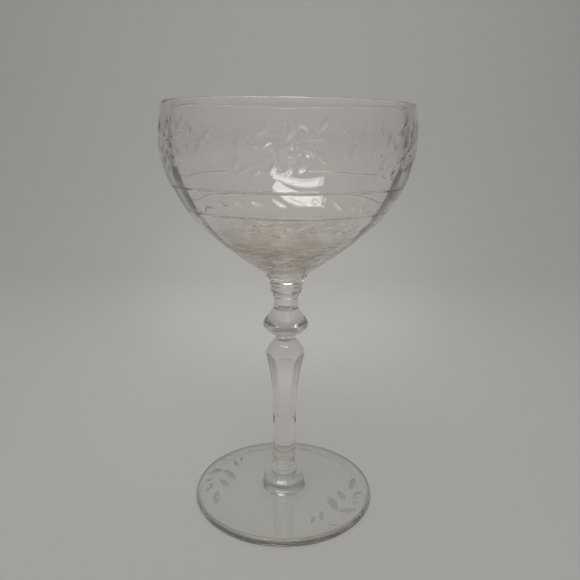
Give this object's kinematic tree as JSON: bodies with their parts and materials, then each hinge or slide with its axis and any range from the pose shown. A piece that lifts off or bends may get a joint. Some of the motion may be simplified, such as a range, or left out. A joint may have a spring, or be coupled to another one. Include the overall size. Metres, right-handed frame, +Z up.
{
  "type": "saucer champagne glass",
  "caption": "Stemmed saucer champagne glass: wide rounded bowl with cut leaves, stacked ring collar, double-cone knop, fluted baluster stem and round foot.",
  "frame": {"origin": "centre of the foot's resting ring, on the surface that the glass stands on", "axes": "+Z up along the axis of the stem and bowl; the six stem flutes face -Y and every 60 degrees from it"},
  "size_m": [0.093, 0.093, 0.158],
  "materials": {
    "clear_glass": "clear fire-polished glass with fine matte wheel cuts"
  },
  "bodies": {
    "root": {"bowl": "clear_glass", "ring_collar": "clear_glass", "knop": "clear_glass", "baluster_stem": "clear_glass", "foot_button": "clear_glass", "foot": "clear_glass"}
  },
  "joints": []
}
